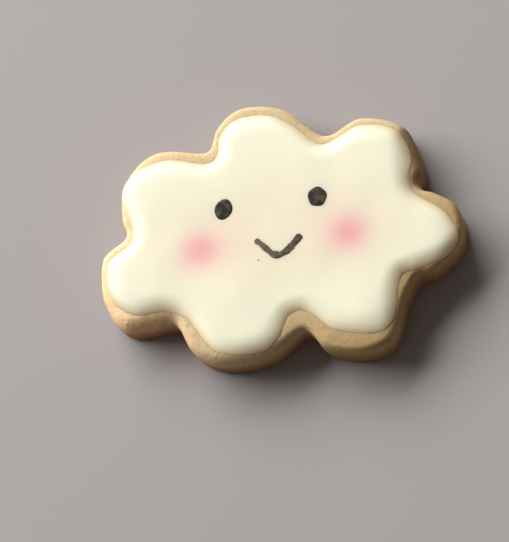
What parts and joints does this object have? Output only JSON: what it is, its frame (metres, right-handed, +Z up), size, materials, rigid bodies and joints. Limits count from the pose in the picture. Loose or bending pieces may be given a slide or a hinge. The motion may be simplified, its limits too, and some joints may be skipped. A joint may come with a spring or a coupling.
{
  "type": "decorated sugar cookie",
  "caption": "Cloud-shaped sugar cookie flooded with ivory royal icing, with a painted smiling face of dot eyes and a curved mouth and soft pink cheeks.",
  "frame": {"origin": "under the middle of the cookie's outline, on the flat underside it rests on", "axes": "+X along the longer way of the cloud, towards the right of the face; +Y towards the top of the face; +Z up out of the icing"},
  "size_m": [0.0593, 0.0439, 0.0078],
  "materials": {
    "biscuit": "baked sugar-cookie dough: pale golden on the top edge, browner towards the underside, dry and fine-grained",
    "icing": "dried royal icing flood: ivory white, smooth with a soft satin sheen, dusted pink at the cheeks",
    "ink": "edible black ink painted with a brush: warm black, slightly uneven, matt"
  },
  "bodies": {
    "root": {"cookie": "biscuit", "icing": "icing", "eye_left": "ink", "eye_right": "ink", "smile": "ink"}
  },
  "joints": []
}
